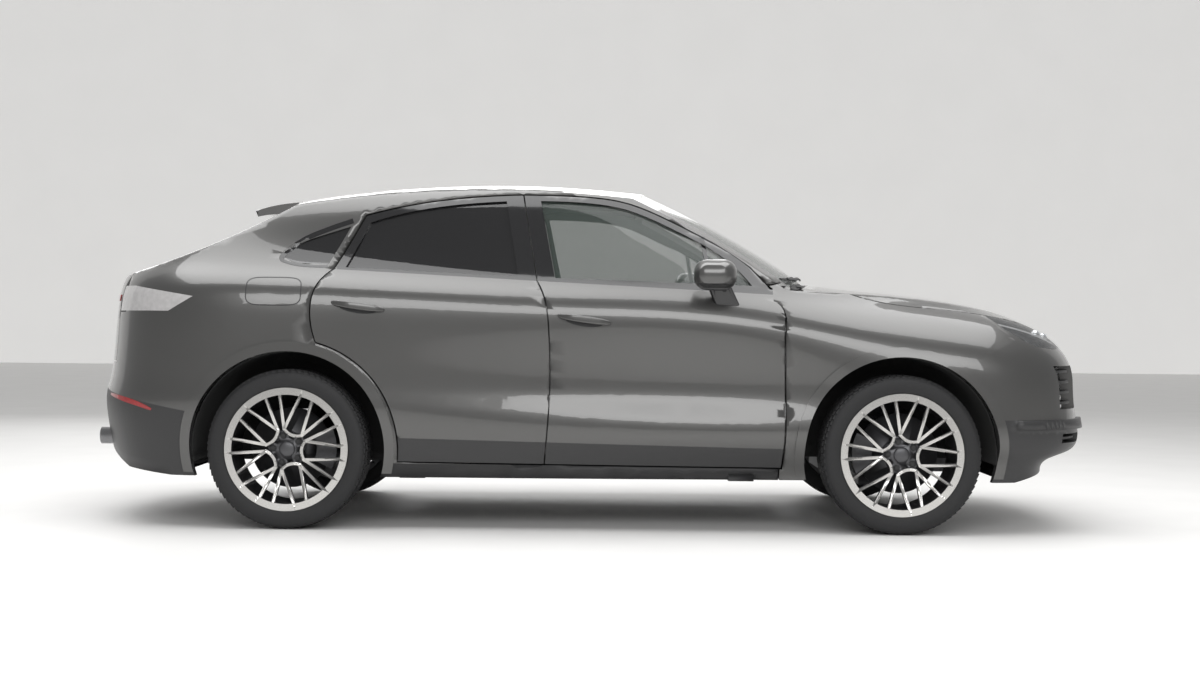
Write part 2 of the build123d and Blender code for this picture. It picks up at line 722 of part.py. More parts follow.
with BuildPart() as floor_pan:
    with Locations((-500, 0, FLOOR_Z)):
        Box(3070, 1550, FLOOR_WALL, align=(Align.CENTER, Align.CENTER, Align.MAX))
    with Locations((-1790, 0, 560)):
        Box(900, 980, 30)
    with Locations((-1340, 0, 575)):
        Box(30, 980, 575 - FLOOR_Z + FLOOR_WALL, align=(Align.CENTER, Align.CENTER, Align.MAX))
    with Locations((250, 0, FLOOR_Z)):
        Box(1440, 260, 110, align=(Align.CENTER, Align.CENTER, Align.MIN))
    add(wheel_openings.part, mode=Mode.SUBTRACT)
    for side in (-1, 1):
        add(wheel_house(REAR_AXLE_X, side, 474, 310))
    with Locations((1020, 0, FLOOR_Z - FLOOR_WALL)):
        Box(30, 1260, 800, align=(Align.CENTER, Align.CENTER, Align.MIN))
    for side in (-1, 1):
        for gap in (-15, 15):
            with Locations((HOOD_AXIS[0] + 13, side * HOOD_HINGE_Y + gap, 1050)):
                Box(62, 14, 75, align=(Align.MAX, Align.CENTER, Align.MIN))
                Box(22, 14, 122, align=(Align.MAX, Align.CENTER, Align.MIN))
        with Locations(Location((HOOD_AXIS[0], side * HOOD_HINGE_Y, HOOD_AXIS[1]), (90, 0, 0))):
            Cylinder(PIN_RADIUS + RUNNING_FIT, 80, mode=Mode.SUBTRACT)

# Front frame: rails, radiator support and the front wheel houses
with BuildPart() as front_frame:
    for side in (-1, 1):
        with Locations((1607.7, side * 432, 460)):
            Box(1144.8, 94, 110)
        add(wheel_house(FRONT_AXLE_X, side, 476, 330))
    with Locations((2190, 0, 340)):
        Box(30, 960, 470, align=(Align.CENTER, Align.CENTER, Align.MIN))
    with Locations(Location(TOW_EYE, (0, 90, 0))):
        Cylinder(20, TOW_EYE[0] - 2180, align=(Align.CENTER, Align.CENTER, Align.MAX))
        Cylinder(TOW_EYE_RADIUS, 2 * TOW_EYE_DEPTH, mode=Mode.SUBTRACT)

# Engine as one plain block with a cover
with BuildPart() as engine:
    with Locations((1540, 0, WHEEL_Z - BALL_HEIGHT + 10.3)):
        Box(640, 560, 565, align=(Align.CENTER, Align.CENTER, Align.MIN))
    with Locations((1540, 0, 810)):
        Box(600, 480, 150, align=(Align.CENTER, Align.CENTER, Align.MIN))
    fillet(engine.edges().filter_by(Axis.Z), 40)

# Tyre, drawn about the wheel axis with the outer face towards -Y
with BuildPart() as tyre_form:
    with BuildSketch():
        with BuildLine():
            Polyline((268, -108), (268, -122), (292, -122), (293, -134))
            Spline((293, -134), (312, -141), (336, -143), (356, -136), (368, -120), (374, -96), (TYRE_RADIUS, 0))
            Spline((TYRE_RADIUS, 0), (374, 96), (368, 120), (356, 136), (336, 143), (312, 141), (293, 134))
            Polyline((293, 134), (292, 122), (268, 122), (268, 108))
            Polyline((268, 108), (310, 124), (340, 126), (360, 98), (364, 0))
            Polyline((364, 0), (360, -98), (340, -126), (310, -124), (268, -108))
        make_face()
    revolve(axis=Axis.Y)


def polar(radius, degrees):
    return (radius * cos(radians(degrees)), radius * sin(radians(degrees)))


# Rim with its hub, brake disc and five pairs of V spokes, each pair joined by a loop
SPOKE_PLANE = Plane((0, -SPOKE_FACE, 0), x_dir=(1, 0, 0), z_dir=(0, 1, 0))
with BuildPart() as rim_form:
    with BuildSketch():
        with BuildLine():
            Polyline((290, -131), (290, -125), (267.5, -125), (267.5, 125), (290, 125), (290, 131))
            Polyline((290, 131), (257, 131), (257, -131), (290, -131))
        make_face()
    revolve(axis=Axis.Y)
    with BuildSketch(Plane((0, -HUB_FACE, 0), x_dir=(1, 0, 0), z_dir=(0, 1, 0))):
        Circle(52)
        with PolarLocations(BOLT_CIRCLE / 2, BOLT_COUNT, start_angle=BOLT_ANGLE):
            Circle(26)
    extrude(amount=HUB_FACE + 40)
    with Locations(Location((0, 26, 0), (90, 0, 0))):
        Cylinder(DISC_RADIUS, 32)
    with Locations(Location((0, 80, 0), (90, 0, 0))):
        Cylinder(SPINDLE_RADIUS, 90)
    for k in range(BOLT_COUNT):
        middle = BOLT_ANGLE + 360 / BOLT_COUNT * (k + 0.5)
        apexes = [polar(APEX_RADIUS, middle + side * APEX_ANGLE) for side in (-1, 1)]
        with BuildSketch(SPOKE_PLANE):
            with BuildLine():
                ThreePointArc(apexes[0], polar(LOOP_RADIUS, middle), apexes[1])
            trace(line_width=SPOKE_WIDTH)
            with Locations(*apexes):
                Circle(SPOKE_WIDTH / 2 + 1)
        extrude(amount=SPOKE_DEPTH)
        for side, apex in zip((-1, 1), apexes):
            for spread in SPOKE_SPREAD:
                with BuildSketch(SPOKE_PLANE):
                    with BuildLine():
                        Line(apex, polar(262, middle + side * spread))
                    trace(line_width=SPOKE_WIDTH)
                extrude(amount=SPOKE_DEPTH)


def carrier(forward):
    """Hub carrier at the wheel centre, with the caliper ahead of the disc or behind it."""
    low_in = (forward * CALIPER_IN * cos(CALIPER_HALF), -CALIPER_IN * sin(CALIPER_HALF))
    low_out = (forward * CALIPER_OUT * cos(CALIPER_HALF), -CALIPER_OUT * sin(CALIPER_HALF))
    high_in = (low_in[0], -low_in[1])
    high_out = (low_out[0], -low_out[1])
    with BuildPart() as part:
        with Locations(Location((0, 95, 0), (90, 0, 0))):
            Cylinder(62, 90)
        with Locations((0, KINGPIN_OFFSET + 14, 0)):
            Box(60, 56, 2 * BALL_HEIGHT)
        with Locations((forward * 90, 72, 0)):
            Box(180, 40, 90)
        with BuildSketch(Plane.XZ.offset(-90)):
            with BuildLine():
                Line(low_in, low_out)
                ThreePointArc(low_out, (forward * CALIPER_OUT, 0), high_out)
                Line(high_out, high_in)
                ThreePointArc(high_in, (forward * CALIPER_IN, 0), low_in)
            make_face()
        extrude(amount=125)
        with Locations(Location((0, 26, 0), (90, 0, 0))):
            Cylinder(DISC_RADIUS + 7, 44, mode=Mode.SUBTRACT)
        with Locations(Location((0, 95, 0), (90, 0, 0))):
            Cylinder(SPINDLE_RADIUS + RUNNING_FIT, 200, mode=Mode.SUBTRACT)
        with Locations((0, KINGPIN_OFFSET, BALL_HEIGHT), (0, KINGPIN_OFFSET, -BALL_HEIGHT)):
            Cylinder(KINGPIN_RADIUS + RUNNING_FIT, 84, mode=Mode.SUBTRACT)
    return part.part


def placed(part, axle_x, side):
    """A wheel-side part drawn for the right, put at one wheel."""
    if side < 0:
        return part.moved(Location((axle_x, -WHEEL_Y, WHEEL_Z)))
    return mirror(part, about=Plane.XZ, mode=Mode.PRIVATE).moved(Location((axle_x, WHEEL_Y, WHEEL_Z)))


# Suspension: cross members and arms; the rear one carries its hub carriers
with BuildPart() as suspension_front:
    with Locations((FRONT_AXLE_X, 0, WHEEL_Z - BALL_HEIGHT - 20)):
        Box(240, 800, 60)
    for side in (-1, 1):
        ball_y = side * (WHEEL_Y - KINGPIN_OFFSET)
        for height in (-BALL_HEIGHT - 20, BALL_HEIGHT + 20):
            with Locations((FRONT_AXLE_X, side * (340 + ARM_END) / 2, WHEEL_Z + height)):
                Box(56, ARM_END - 340, 30)
            with Locations((FRONT_AXLE_X, ball_y, WHEEL_Z + height)):
                Cylinder(KINGPIN_RADIUS + 2.5, 30)
        with Locations((FRONT_AXLE_X, side * 360.7, WHEEL_Z)):
            Box(60, 48, 2 * BALL_HEIGHT + 70)
        for height in (-BALL_HEIGHT, BALL_HEIGHT):
            with Locations((FRONT_AXLE_X, ball_y, WHEEL_Z + height)):
                Cylinder(KINGPIN_RADIUS, 74)

with BuildPart() as suspension_rear:
    with Locations((REAR_AXLE_X, 0, FLOOR_Z - FLOOR_WALL - 0.3)):
        Box(320, 760, 86, align=(Align.CENTER, Align.CENTER, Align.MAX))
    for side in (-1, 1):
        with Locations((REAR_AXLE_X, side * 560, 260)):
            Box(80, 380, 30)
        add(placed(carrier(1), REAR_AXLE_X, side))


def seat_block(width, back_low, back_high, cushion_x, cushion_z, depth):
    """Cushion and leaning back of one seat as a single block."""
    with BuildPart() as part:
        with BuildSketch(SIDE.offset(-width / 2)):
            with BuildLine():
                Polyline(
                    (cushion_x + depth, cushion_z - 130),
                    (cushion_x + depth, cushion_z),
                    (cushion_x + 70, cushion_z - 20),
                    (back_high[0] + 110, back_high[1]),
                    (back_high[0] - 10, back_high[1] + 10),
                    (back_low[0] - 60, back_low[1] - 120),
                    close=True,
                )
            make_face()
        extrude(amount=width)
        fillet(part.edges().filter_by(Axis.Y), 30)
    return part.part


# Seats
with BuildPart() as seat_front_right:
    add(seat_block(500, (-30, 620), (-330, 1240), -30, 640, 500).moved(Location((0, -370, 0))))
    with Locations((200, -370, FLOOR_Z)):
        Box(420, 420, 200, align=(Align.CENTER, Align.CENTER, Align.MIN))
    with Locations((-320, -370, 1330)):
        Box(110, 250, 190)

with BuildPart() as seat_rear:
    add(seat_block(1180, (-860, 640), (-1110, 1180), -860, 660, 480))
    with Locations((-700, 0, FLOOR_Z)):
        Box(420, 1000, 220, align=(Align.CENTER, Align.CENTER, Align.MIN))

# Dashboard and steering wheel
STEER_AT = (500, -370, 1030)
STEER_TILT = 24
COLUMN_RADIUS = 14
column_place = Location(STEER_AT, (0, -90 + STEER_TILT, 0))

with BuildPart() as dashboard:
    with BuildSketch(SIDE.offset(-640)):
        with BuildLine():
            Polyline((1004.7, 700), (1004.7, 1080), (760, 1120), (640, 1080), (600, 900), (700, 720))
            Line((700, 720), (1004.7, 700))
        make_face()
    extrude(amount=1280)
    with Locations(column_place * Location((0, 0, -125))):
        Cylinder(38, 170)
        Cylinder(COLUMN_RADIUS + RUNNING_FIT, 400, mode=Mode.SUBTRACT)

with BuildPart() as steering_wheel:
    with Locations(column_place):
        Torus(175, 15)
        Cylinder(60, 50)
        Box(24, 340, 20)
    with Locations(column_place * Location((0, 0, -75))):
        Cylinder(COLUMN_RADIUS, 110)

# Cowl between the hood and the windscreen
with BuildPart() as cowl:
    add(shell(0, -8))
    add(mirrored_plan(
        ((1138, 0), (1110, -400), (1044, -660)),
        ((1030, -672),),
        ((1107.8, 0), (1074.8, -400), (1006.5, -672)),
        low=1000,
    ), mode=Mode.INTERSECT)
    add(shell(0, -22), mode=Mode.SUBTRACT)
    for side in (-1, 1):
        with Locations((1048, side * HOOD_HINGE_Y, 1150)):
            Box(200, 60, 200, align=(Align.MIN, Align.CENTER, Align.CENTER), mode=Mode.SUBTRACT)

# Grille: a dark back plate on the radiator support with slats in each intake
INTAKE_FRONT = (Align.MIN, Align.CENTER, Align.CENTER)
with BuildPart() as intake_slats:
    for k in range(4):
        with Locations((2214, 0, 475 + 46 * k)):
            Box(300, 980, 10, align=INTAKE_FRONT)
    for side in (-1, 1):
        for k in range(4):
            with Locations((2214, side * INTAKE_Y, INTAKE_Z - 75 + 50 * k)):
                Box(300, 268, 13, align=INTAKE_FRONT)
        with Locations((2214, side * INTAKE_Y, FOG_SLOT_Z)):
            Box(300, 240, 10, align=INTAKE_FRONT)
    add(envelope.part.moved(Location((-22, 0, 0))), mode=Mode.INTERSECT)

with BuildPart() as grille:
    with Locations((2205.3, 0, 605)):
        Box(10, 1440, 330, align=INTAKE_FRONT)
    add(intake_slats.part)

# Door mirror on the right side
MIRROR_AT = (618, -1028, 1214)
with BuildPart() as mirror_right:
    with BuildSketch(SIDE.offset(1100)):
        with Locations((MIRROR_AT[0] - 12, MIRROR_AT[2])):
            RectangleRounded(130, 84, 40)
    with BuildSketch(SIDE.offset(1040)):
        with Locations((MIRROR_AT[0], MIRROR_AT[2])):
            RectangleRounded(196, 138, 60)
    with BuildSketch(SIDE.offset(940)):
        with Locations((MIRROR_AT[0] - 4, MIRROR_AT[2])):
            RectangleRounded(160, 116, 50)
    loft()
    with BuildSketch(Plane.XY.offset(1168)):
        with Locations((640, -955)):
            RectangleRounded(110, 60, 20)
    with BuildSketch(Plane.XY.offset(1060)):
        with Locations((690, -905)):
            RectangleRounded(120, 40, 15)
    loft()
    add(side_form.part.moved(Location((0, -0.3, 0))), mode=Mode.SUBTRACT)

# Roof spoiler on the tailgate
with BuildPart() as spoiler:
    for y in (560, 280, 0, -280, -560):
        drop = 140 * (y / 1000) ** 2
        back = 120 * (y / 1000) ** 2
        with BuildSketch(SIDE.offset(-y)):
            with BuildLine():
                Spline((-1417, 1601 - drop), (-1540, 1585 - drop), (-1657 + back, 1560 - drop))
                Line((-1657 + back, 1560 - drop), (-1646 + back, 1532 - drop))
                Spline((-1646 + back, 1532 - drop), (-1560, 1541 - drop), (-1480, 1545 - drop))
                Line((-1480, 1545 - drop), (-1417, 1570 - drop))
                Line((-1417, 1570 - drop), (-1417, 1601 - drop))
            make_face()
    loft()
    add(gate_plan(-SHUT - 6), mode=Mode.INTERSECT)
    add(shell(0, 0.3), mode=Mode.SUBTRACT)

# Exhaust box under the load deck with its two outlets
with BuildPart() as exhaust:
    with Locations((-2140, 0, 420)):
        Box(170, 1000, 120)
    for side in (-1, 1):
        with Locations((-2140, side * 300, 480)):
            Box(30, 30, 64.7, align=(Align.CENTER, Align.CENTER, Align.MIN))
        with Locations(Location((-2300, side * 440, 400), (0, 90, 0))):
            Cylinder(42, 200)
            Cylinder(36, 210, mode=Mode.SUBTRACT)
        with Locations((-2215, side * 440, 400)):
            Box(20, 70, 70)

# Trim round each wheel opening, standing a little proud of the panels
TRIM_WIDTH = 46
TRIM_PROUD = 10


def arch_trim(axle_x):
    with BuildPart() as trim:
        add(side_form.part.moved(Location((0, -TRIM_PROUD, 0))))
        with BuildSketch(SIDE):
            with Locations((axle_x, WHEEL_Z + 4)):
                Circle(ARCH_RADIUS + TRIM_WIDTH)
                Circle(ARCH_RADIUS, mode=Mode.SUBTRACT)
            with Locations((axle_x, 262)):
                Rectangle(1200, 400, align=(Align.CENTER, Align.MAX), mode=Mode.SUBTRACT)
        extrude(amount=1200, mode=Mode.INTERSECT)
        add(side_form.part.moved(Location((0, -0.3, 0))), mode=Mode.SUBTRACT)
        with Locations((axle_x, 0, 0)):
            Box(1200, 1500, 3000, mode=Mode.SUBTRACT)
    return trim.part


# Pieces on the centre line, and the right-hand pieces that are mirrored
SINGLE = {
    "floor_pan": floor_pan,
    "front_frame": front_frame,
    "engine": engine,
    "hood": hood,
    "roof_panel": roof_panel,
    "roof_glass": roof_glass,
    "windscreen": windscreen,
    "tailgate": tailgate,
    "rear_glass": rear_glass,
    "spoiler": spoiler,
    "front_bumper": front_bumper,
    "rear_bumper": rear_bumper,
    "grille": grille,
    "cowl": cowl,
    "suspension_front": suspension_front,
    "suspension_rear": suspension_rear,
    "exhaust": exhaust,
    "seat_rear": seat_rear,
    "dashboard": dashboard,
    "steering_wheel": steering_wheel,
}
PAIRS = {
    "door_front": door_front_right,
    "glass_front": glass_front_right,
    "door_rear": door_rear_right,
    "glass_rear": glass_rear_right,
    "quarter_glass": quarter_glass_right,
    "headlamp": headlamp_right,
    "tail_lamp": tail_lamp_right,
    "fender": fender_right,
    "body_side": body_side_right,
    "seat_front": seat_front_right,
    "mirror": mirror_right,
}
parts = {name: builder.part for name, builder in SINGLE.items()}
for name, builder in PAIRS.items():
    parts[f"{name}_right"] = builder.part
    parts[f"{name}_left"] = mirror(builder.part, about=Plane.XZ)
for end, axle_x in (("front", FRONT_AXLE_X), ("rear", REAR_AXLE_X)):
    trim = arch_trim(axle_x)
    parts[f"arch_trim_{end}_right"] = trim
    parts[f"arch_trim_{end}_left"] = mirror(trim, about=Plane.XZ)
    for side, hand in ((-1, "right"), (1, "left")):
        parts[f"tyre_{end}_{hand}"] = placed(tyre_form.part, axle_x, side)
        parts[f"rim_{end}_{hand}"] = placed(rim_form.part, axle_x, side)
for side, hand in ((-1, "right"), (1, "left")):
    parts[f"knuckle_{hand}"] = placed(carrier(-1), FRONT_AXLE_X, side)

# Labels and STEP files
for name, part in parts.items():
    piece = part.moved(Location((-DATUM_X, 0, 0)))
    piece.label = name
    export_step(piece, f"parts/{name}.step")
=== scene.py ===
# %% [markdown]
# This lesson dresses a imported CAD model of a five-door sport utility vehicle with a sloping
# coupe roof. The CAD solids are the fixed frame: every panel, pane and wheel is already in its
# place, in metres, with +X to the front, +Z up and the vehicle's right side towards -Y. Each
# cell below adds one finish or one set of small pieces and says how it was made.

# %% Load the frame
import json
import math

import bmesh
import bpy
from mathutils import Matrix, Vector
from mathutils.bvhtree import BVHTree


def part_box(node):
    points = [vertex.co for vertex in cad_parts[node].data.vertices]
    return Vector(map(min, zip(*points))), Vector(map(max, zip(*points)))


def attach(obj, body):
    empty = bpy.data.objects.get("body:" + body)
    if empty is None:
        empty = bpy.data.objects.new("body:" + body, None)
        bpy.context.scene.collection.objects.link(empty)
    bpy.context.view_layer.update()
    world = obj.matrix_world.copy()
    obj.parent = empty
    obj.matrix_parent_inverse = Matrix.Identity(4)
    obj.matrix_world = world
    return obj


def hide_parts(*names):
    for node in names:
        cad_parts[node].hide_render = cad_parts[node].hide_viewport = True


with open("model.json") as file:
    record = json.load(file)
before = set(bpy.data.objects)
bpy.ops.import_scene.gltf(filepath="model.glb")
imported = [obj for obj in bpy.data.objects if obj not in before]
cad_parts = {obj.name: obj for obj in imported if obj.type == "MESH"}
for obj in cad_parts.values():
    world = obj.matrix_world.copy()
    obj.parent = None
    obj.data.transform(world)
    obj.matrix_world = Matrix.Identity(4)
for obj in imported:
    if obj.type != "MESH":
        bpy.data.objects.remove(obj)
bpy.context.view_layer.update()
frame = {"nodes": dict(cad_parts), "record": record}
nodes = frame["nodes"]
scene = bpy.context.scene
scene.view_settings.view_transform = "Standard"

# %% [markdown]
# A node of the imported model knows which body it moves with. Copies and new pieces have to ride
# on the same body, so a small table from node to body saves looking it up each time. The wheel
# centres are read from the tyres, because later cells need them for rims, bolts, caps and tread.

# %% Bodies and wheel centres
body_of_node = {}
for body_name, members in frame["record"]["behaviour"]["bodies"].items():
    for member in members:
        body_of_node[member] = body_name

CORNERS = [(end, hand) for end in ("front", "rear") for hand in ("left", "right")]
SIDE_SIGN = {"left": 1, "right": -1}
wheel_centre = {}
for end, hand in CORNERS:
    low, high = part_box(f"tyre_{end}_{hand}")
    wheel_centre[end, hand] = (low + high) / 2
tyre_low, tyre_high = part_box("tyre_front_right")
TYRE_RADIUS = (tyre_high.z - tyre_low.z) / 2
print("tyre radius", round(TYRE_RADIUS, 4), "centre", [round(v, 4) for v in wheel_centre["front", "right"]])

# %% [markdown]
# Materials are built from nodes, so that they need no picture. A helper makes the usual start: a
# principled shader, with a noise on Object coordinates that varies the colour a little, as dust
# and uneven wear do, and a fine bump. Values that are the same all over go straight on the shader.

# %% Material helper
def finish_material(name, colour, roughness, metallic=0.0, spread=0.08, scale=60.0, bump=0.0, coat=0.0):
    """A principled finish whose colour wanders a little with a noise in Object coordinates."""
    material = bpy.data.materials.new(name)
    material.use_nodes = True
    tree = material.node_tree
    shader = tree.nodes["Principled BSDF"]
    shader.inputs["Roughness"].default_value = roughness
    shader.inputs["Metallic"].default_value = metallic
    shader.inputs["Coat Weight"].default_value = coat
    shader.inputs["Coat Roughness"].default_value = 0.03
    place = tree.nodes.new("ShaderNodeTexCoord")
    noise = tree.nodes.new("ShaderNodeTexNoise")
    noise.inputs["Scale"].default_value = scale
    noise.inputs["Detail"].default_value = 4.0
    tree.links.new(place.outputs["Object"], noise.inputs["Vector"])
    ramp = tree.nodes.new("ShaderNodeValToRGB")
    ramp.color_ramp.elements[0].position = 0.3
    ramp.color_ramp.elements[1].position = 0.7
    ramp.color_ramp.elements[0].color = [c * (1 - spread) for c in colour] + [1]
    ramp.color_ramp.elements[1].color = [min(1, c * (1 + spread)) for c in colour] + [1]
    tree.links.new(noise.outputs["Fac"], ramp.inputs["Fac"])
    tree.links.new(ramp.outputs["Color"], shader.inputs["Base Color"])
    if bump:
        lift = tree.nodes.new("ShaderNodeBump")
        lift.inputs["Strength"].default_value = bump
        lift.inputs["Distance"].default_value = 0.002
        tree.links.new(noise.outputs["Fac"], lift.inputs["Height"])
        tree.links.new(lift.outputs["Normal"], shader.inputs["Normal"])
    return material


def glass_material(name, colour, alpha):
    """Thin tinted glass: part of it is seen through, and the rest is a clear glossy surface."""
    material = finish_material(name, colour, 0.03, spread=0.05, scale=3.0)
    shader = material.node_tree.nodes["Principled BSDF"]
    shader.inputs["Alpha"].default_value = alpha
    shader.inputs["IOR"].default_value = 1.5
    shader.inputs["Coat Weight"].default_value = 0.5
    return material


# %% [markdown]
# The finishes are one call each: dark grey metallic paint under a clear coat, black plastics, a dark grey
# that is painted shade for the lower body, rubber, bright and dark alloy, bare and cast metal, leather, lamp
# lenses and two tints of glass.

# %% Finishes
paint = finish_material("grey_metallic_paint", (0.098, 0.097, 0.095), 0.33, metallic=0.72, spread=0.05,
                        scale=900.0, coat=1.0)
gloss_black = finish_material("gloss_black_trim", (0.010, 0.010, 0.011), 0.12, coat=0.6)
# This dark grey is painted shade: the lower body is the same paint, darkened to stand for the dark floor it
# reflects.
painted_shade_grey = finish_material("painted_shade_lower_body", (0.034, 0.034, 0.035), 0.42, scale=300.0, bump=0.05)
satin_black = finish_material("satin_black_plastic", (0.018, 0.018, 0.019), 0.5, scale=500.0, bump=0.1)
tyre_rubber = finish_material("tyre_rubber", (0.017, 0.017, 0.018), 0.72, scale=120.0, bump=0.15)
bright_alloy = finish_material("diamond_cut_alloy", (0.62, 0.61, 0.59), 0.22, metallic=0.9, scale=400.0)
dark_alloy = finish_material("painted_dark_alloy", (0.10, 0.10, 0.105), 0.38, metallic=0.7, scale=400.0)
steel = finish_material("machined_steel", (0.38, 0.38, 0.39), 0.35, metallic=0.95, scale=200.0)
cast_grey = finish_material("cast_grey_metal", (0.13, 0.13, 0.135), 0.6, metallic=0.6, scale=80.0, bump=0.2)
underbody_black = finish_material("underbody_coating", (0.022, 0.022, 0.022), 0.8, scale=90.0, bump=0.3)
leather = finish_material("black_leather", (0.022, 0.021, 0.021), 0.5, scale=350.0, bump=0.25)
lamp_red = finish_material("red_lamp_lens", (0.32, 0.008, 0.010), 0.12, scale=40.0, coat=0.8)
tail_lens = finish_material("clear_tail_lens", (0.46, 0.45, 0.45), 0.10, scale=40.0, coat=0.9)
lamp_bright = finish_material("lamp_reflector", (0.72, 0.74, 0.76), 0.14, metallic=0.85, scale=40.0)
lamp_frost = finish_material("frosted_light_bar", (0.78, 0.79, 0.80), 0.2, scale=40.0, coat=0.5)
clear_glass = glass_material("clear_green_glass", (0.085, 0.105, 0.095), 0.32)
dark_glass = glass_material("privacy_glass", (0.012, 0.012, 0.013), 0.90)
lens_glass = glass_material("lamp_lens", (0.075, 0.078, 0.082), 0.50)
print(len(bpy.data.materials), "materials")

# %% [markdown]
# A CAD node comes as loose triangles with flat shading at every edge. A copy whose doubles are
# merged, with edges sharper than a given angle kept sharp, reflects light like a pressed panel.
# The copy stands for the node and rides on its body. A rule can sort its faces into a second
# finish, by where a face lies or which way it looks.

# %% Smooth copies of CAD nodes
def smooth_copy(node, first, sharp_deg=32.0, second=None, rule=None, cuts=()):
    """A merged, smooth-shaded copy of a CAD node; faces that satisfy the rule get the second finish."""
    mesh = nodes[node].data.copy()
    mesh.name = node + "_skin"
    shape = bmesh.new()
    shape.from_mesh(mesh)
    bmesh.ops.remove_doubles(shape, verts=shape.verts, dist=2e-5)
    for point, normal in cuts:
        geometry = shape.verts[:] + shape.edges[:] + shape.faces[:]
        bmesh.ops.bisect_plane(shape, geom=geometry, plane_co=point, plane_no=normal, dist=1e-6)
    for face in shape.faces:
        face.smooth = True
        face.material_index = 1 if rule and rule(face) else 0
    mesh.materials.clear()
    mesh.materials.append(first)
    if second:
        mesh.materials.append(second)
    shape.to_mesh(mesh)
    shape.free()
    mesh.set_sharp_from_angle(angle=math.radians(sharp_deg))
    skin = bpy.data.objects.new(node + "_skin", mesh)
    scene.collection.objects.link(skin)
    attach(skin, body_of_node[node])
    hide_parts(node)
    return skin


# %% [markdown]
# The body panels take the paint. On the doors the frame above the belt line is gloss black, and
# the strip below a slanted line near the sill is painted shade: the same paint in a dark grey, darker as if it
# reflected a dark floor.
# The bumpers take the same painted shade below a line, and the sills are black. Planes cut the copy along those
# lines, so the two finishes meet on a clean edge.

# %% Painted panels
BELT_REAR = Vector((-1.4405, 0, 1.240))
BELT_FRONT = Vector((0.8995, 0, 1.126))
# Below the next line the doors get painted shade in place of paint.
SHADE_EDGE_REAR = Vector((-1.0205, 0, 0.436))
SHADE_EDGE_FRONT = Vector((0.9795, 0, 0.399))


def rising_normal(a, b):
    """The upward normal, in the side view, of the line from a to b."""
    along = b - a
    return Vector((-along.z, 0, along.x)).normalized()


belt_normal = rising_normal(BELT_REAR, BELT_FRONT)
shade_edge_normal = rising_normal(SHADE_EDGE_REAR, SHADE_EDGE_FRONT)


def above(point, line_point, normal):
    return (point - line_point).dot(normal) > 0


def door_trim(face):
    centre = face.calc_center_median()
    return above(centre, BELT_REAR, belt_normal)


for hand in SIDE_SIGN:
    for end in ("front", "rear"):
        skin = smooth_copy(f"door_{end}_{hand}", paint, second=gloss_black, rule=door_trim,
                           cuts=((BELT_REAR, belt_normal), (SHADE_EDGE_REAR, shade_edge_normal)))
        # The strip below the slanted line takes the dark grey painted shade.
        skin.data.materials.append(painted_shade_grey)
        for polygon in skin.data.polygons:
            if not above(polygon.center, SHADE_EDGE_REAR, shade_edge_normal):
                polygon.material_index = 2
for node in ("hood", "roof_panel", "tailgate", "spoiler"):
    smooth_copy(node, paint)


def lower_part(line_point, normal):
    return lambda face: not above(face.calc_center_median(), line_point, normal)


UP = Vector((0, 0, 1))
# Below these lines the bumpers get the dark grey painted shade.
rear_shade_edge = (Vector((-2.3105, 0, 0.630)), rising_normal(Vector((-2.3105, 0, 0.630)), Vector((-1.8705, 0, 0.550))))
front_shade_edge = (Vector((0, 0, 0.545)), UP)
sill_line = (Vector((0, 0, 0.312)), UP)
for node, line in (("front_bumper", front_shade_edge), ("rear_bumper", rear_shade_edge)):
    smooth_copy(node, paint, second=painted_shade_grey, rule=lower_part(*line), cuts=(line,))
for hand in SIDE_SIGN:
    smooth_copy(f"body_side_{hand}", paint, second=satin_black, rule=lower_part(*sill_line),
                        cuts=(sill_line,))
    for node in (f"fender_{hand}", f"arch_trim_front_{hand}", f"arch_trim_rear_{hand}"):
        smooth_copy(node, paint)

# %% [markdown]
# Other nodes take one finish each, so a table from finish to nodes is enough. The mirrors are
# two-tone, black below a level line. On the rims only the outward faces that stand proud of the hub are
# bright, and the rest is dark.

# %% Glass, lamps and dark nodes
plain_finish = {
    clear_glass: ["windscreen", "glass_front_left", "glass_front_right"],
    dark_glass: ["rear_glass", "roof_glass", "glass_rear_left", "glass_rear_right",
                 "quarter_glass_left", "quarter_glass_right"],
    lens_glass: ["headlamp_left", "headlamp_right"],
    tail_lens: ["tail_lamp_left", "tail_lamp_right"],
    satin_black: ["grille", "cowl", "dashboard", "steering_wheel"],
    cast_grey: ["engine", "suspension_front", "suspension_rear", "knuckle_left", "knuckle_right"],
    steel: ["exhaust"],
    underbody_black: ["floor_pan", "front_frame"],
}
mirror_line = (Vector((0, 0, 1.172)), UP)
for material, names in plain_finish.items():
    for node in names:
        smooth_copy(node, material)
for hand in SIDE_SIGN:
    smooth_copy(f"mirror_{hand}", paint, second=gloss_black, rule=lower_part(*mirror_line), cuts=(mirror_line,))
for end, hand in CORNERS:
    smooth_copy(f"tyre_{end}_{hand}", tyre_rubber, 40.0)


BRIGHT_FROM = 0.118


def faces_out(sign, centre):
    """True for faces of a rim that look outwards and stand proud of the hub."""
    return lambda face: (face.normal.y * sign > 0.6
                         and (face.calc_center_median().y - centre.y) * sign > BRIGHT_FROM)


for end, hand in CORNERS:
    smooth_copy(f"rim_{end}_{hand}", dark_alloy, 30.0, second=bright_alloy,
                rule=faces_out(SIDE_SIGN[hand], wheel_centre[end, hand]))

# %% [markdown]
# Small pieces are made in a bmesh and then turned into an object in one place, so that each gets
# recalculated normals, smooth shading with sharp creases, a finish and a body to ride on. A box
# with rounded edges is the commonest start, so it has its own helper.

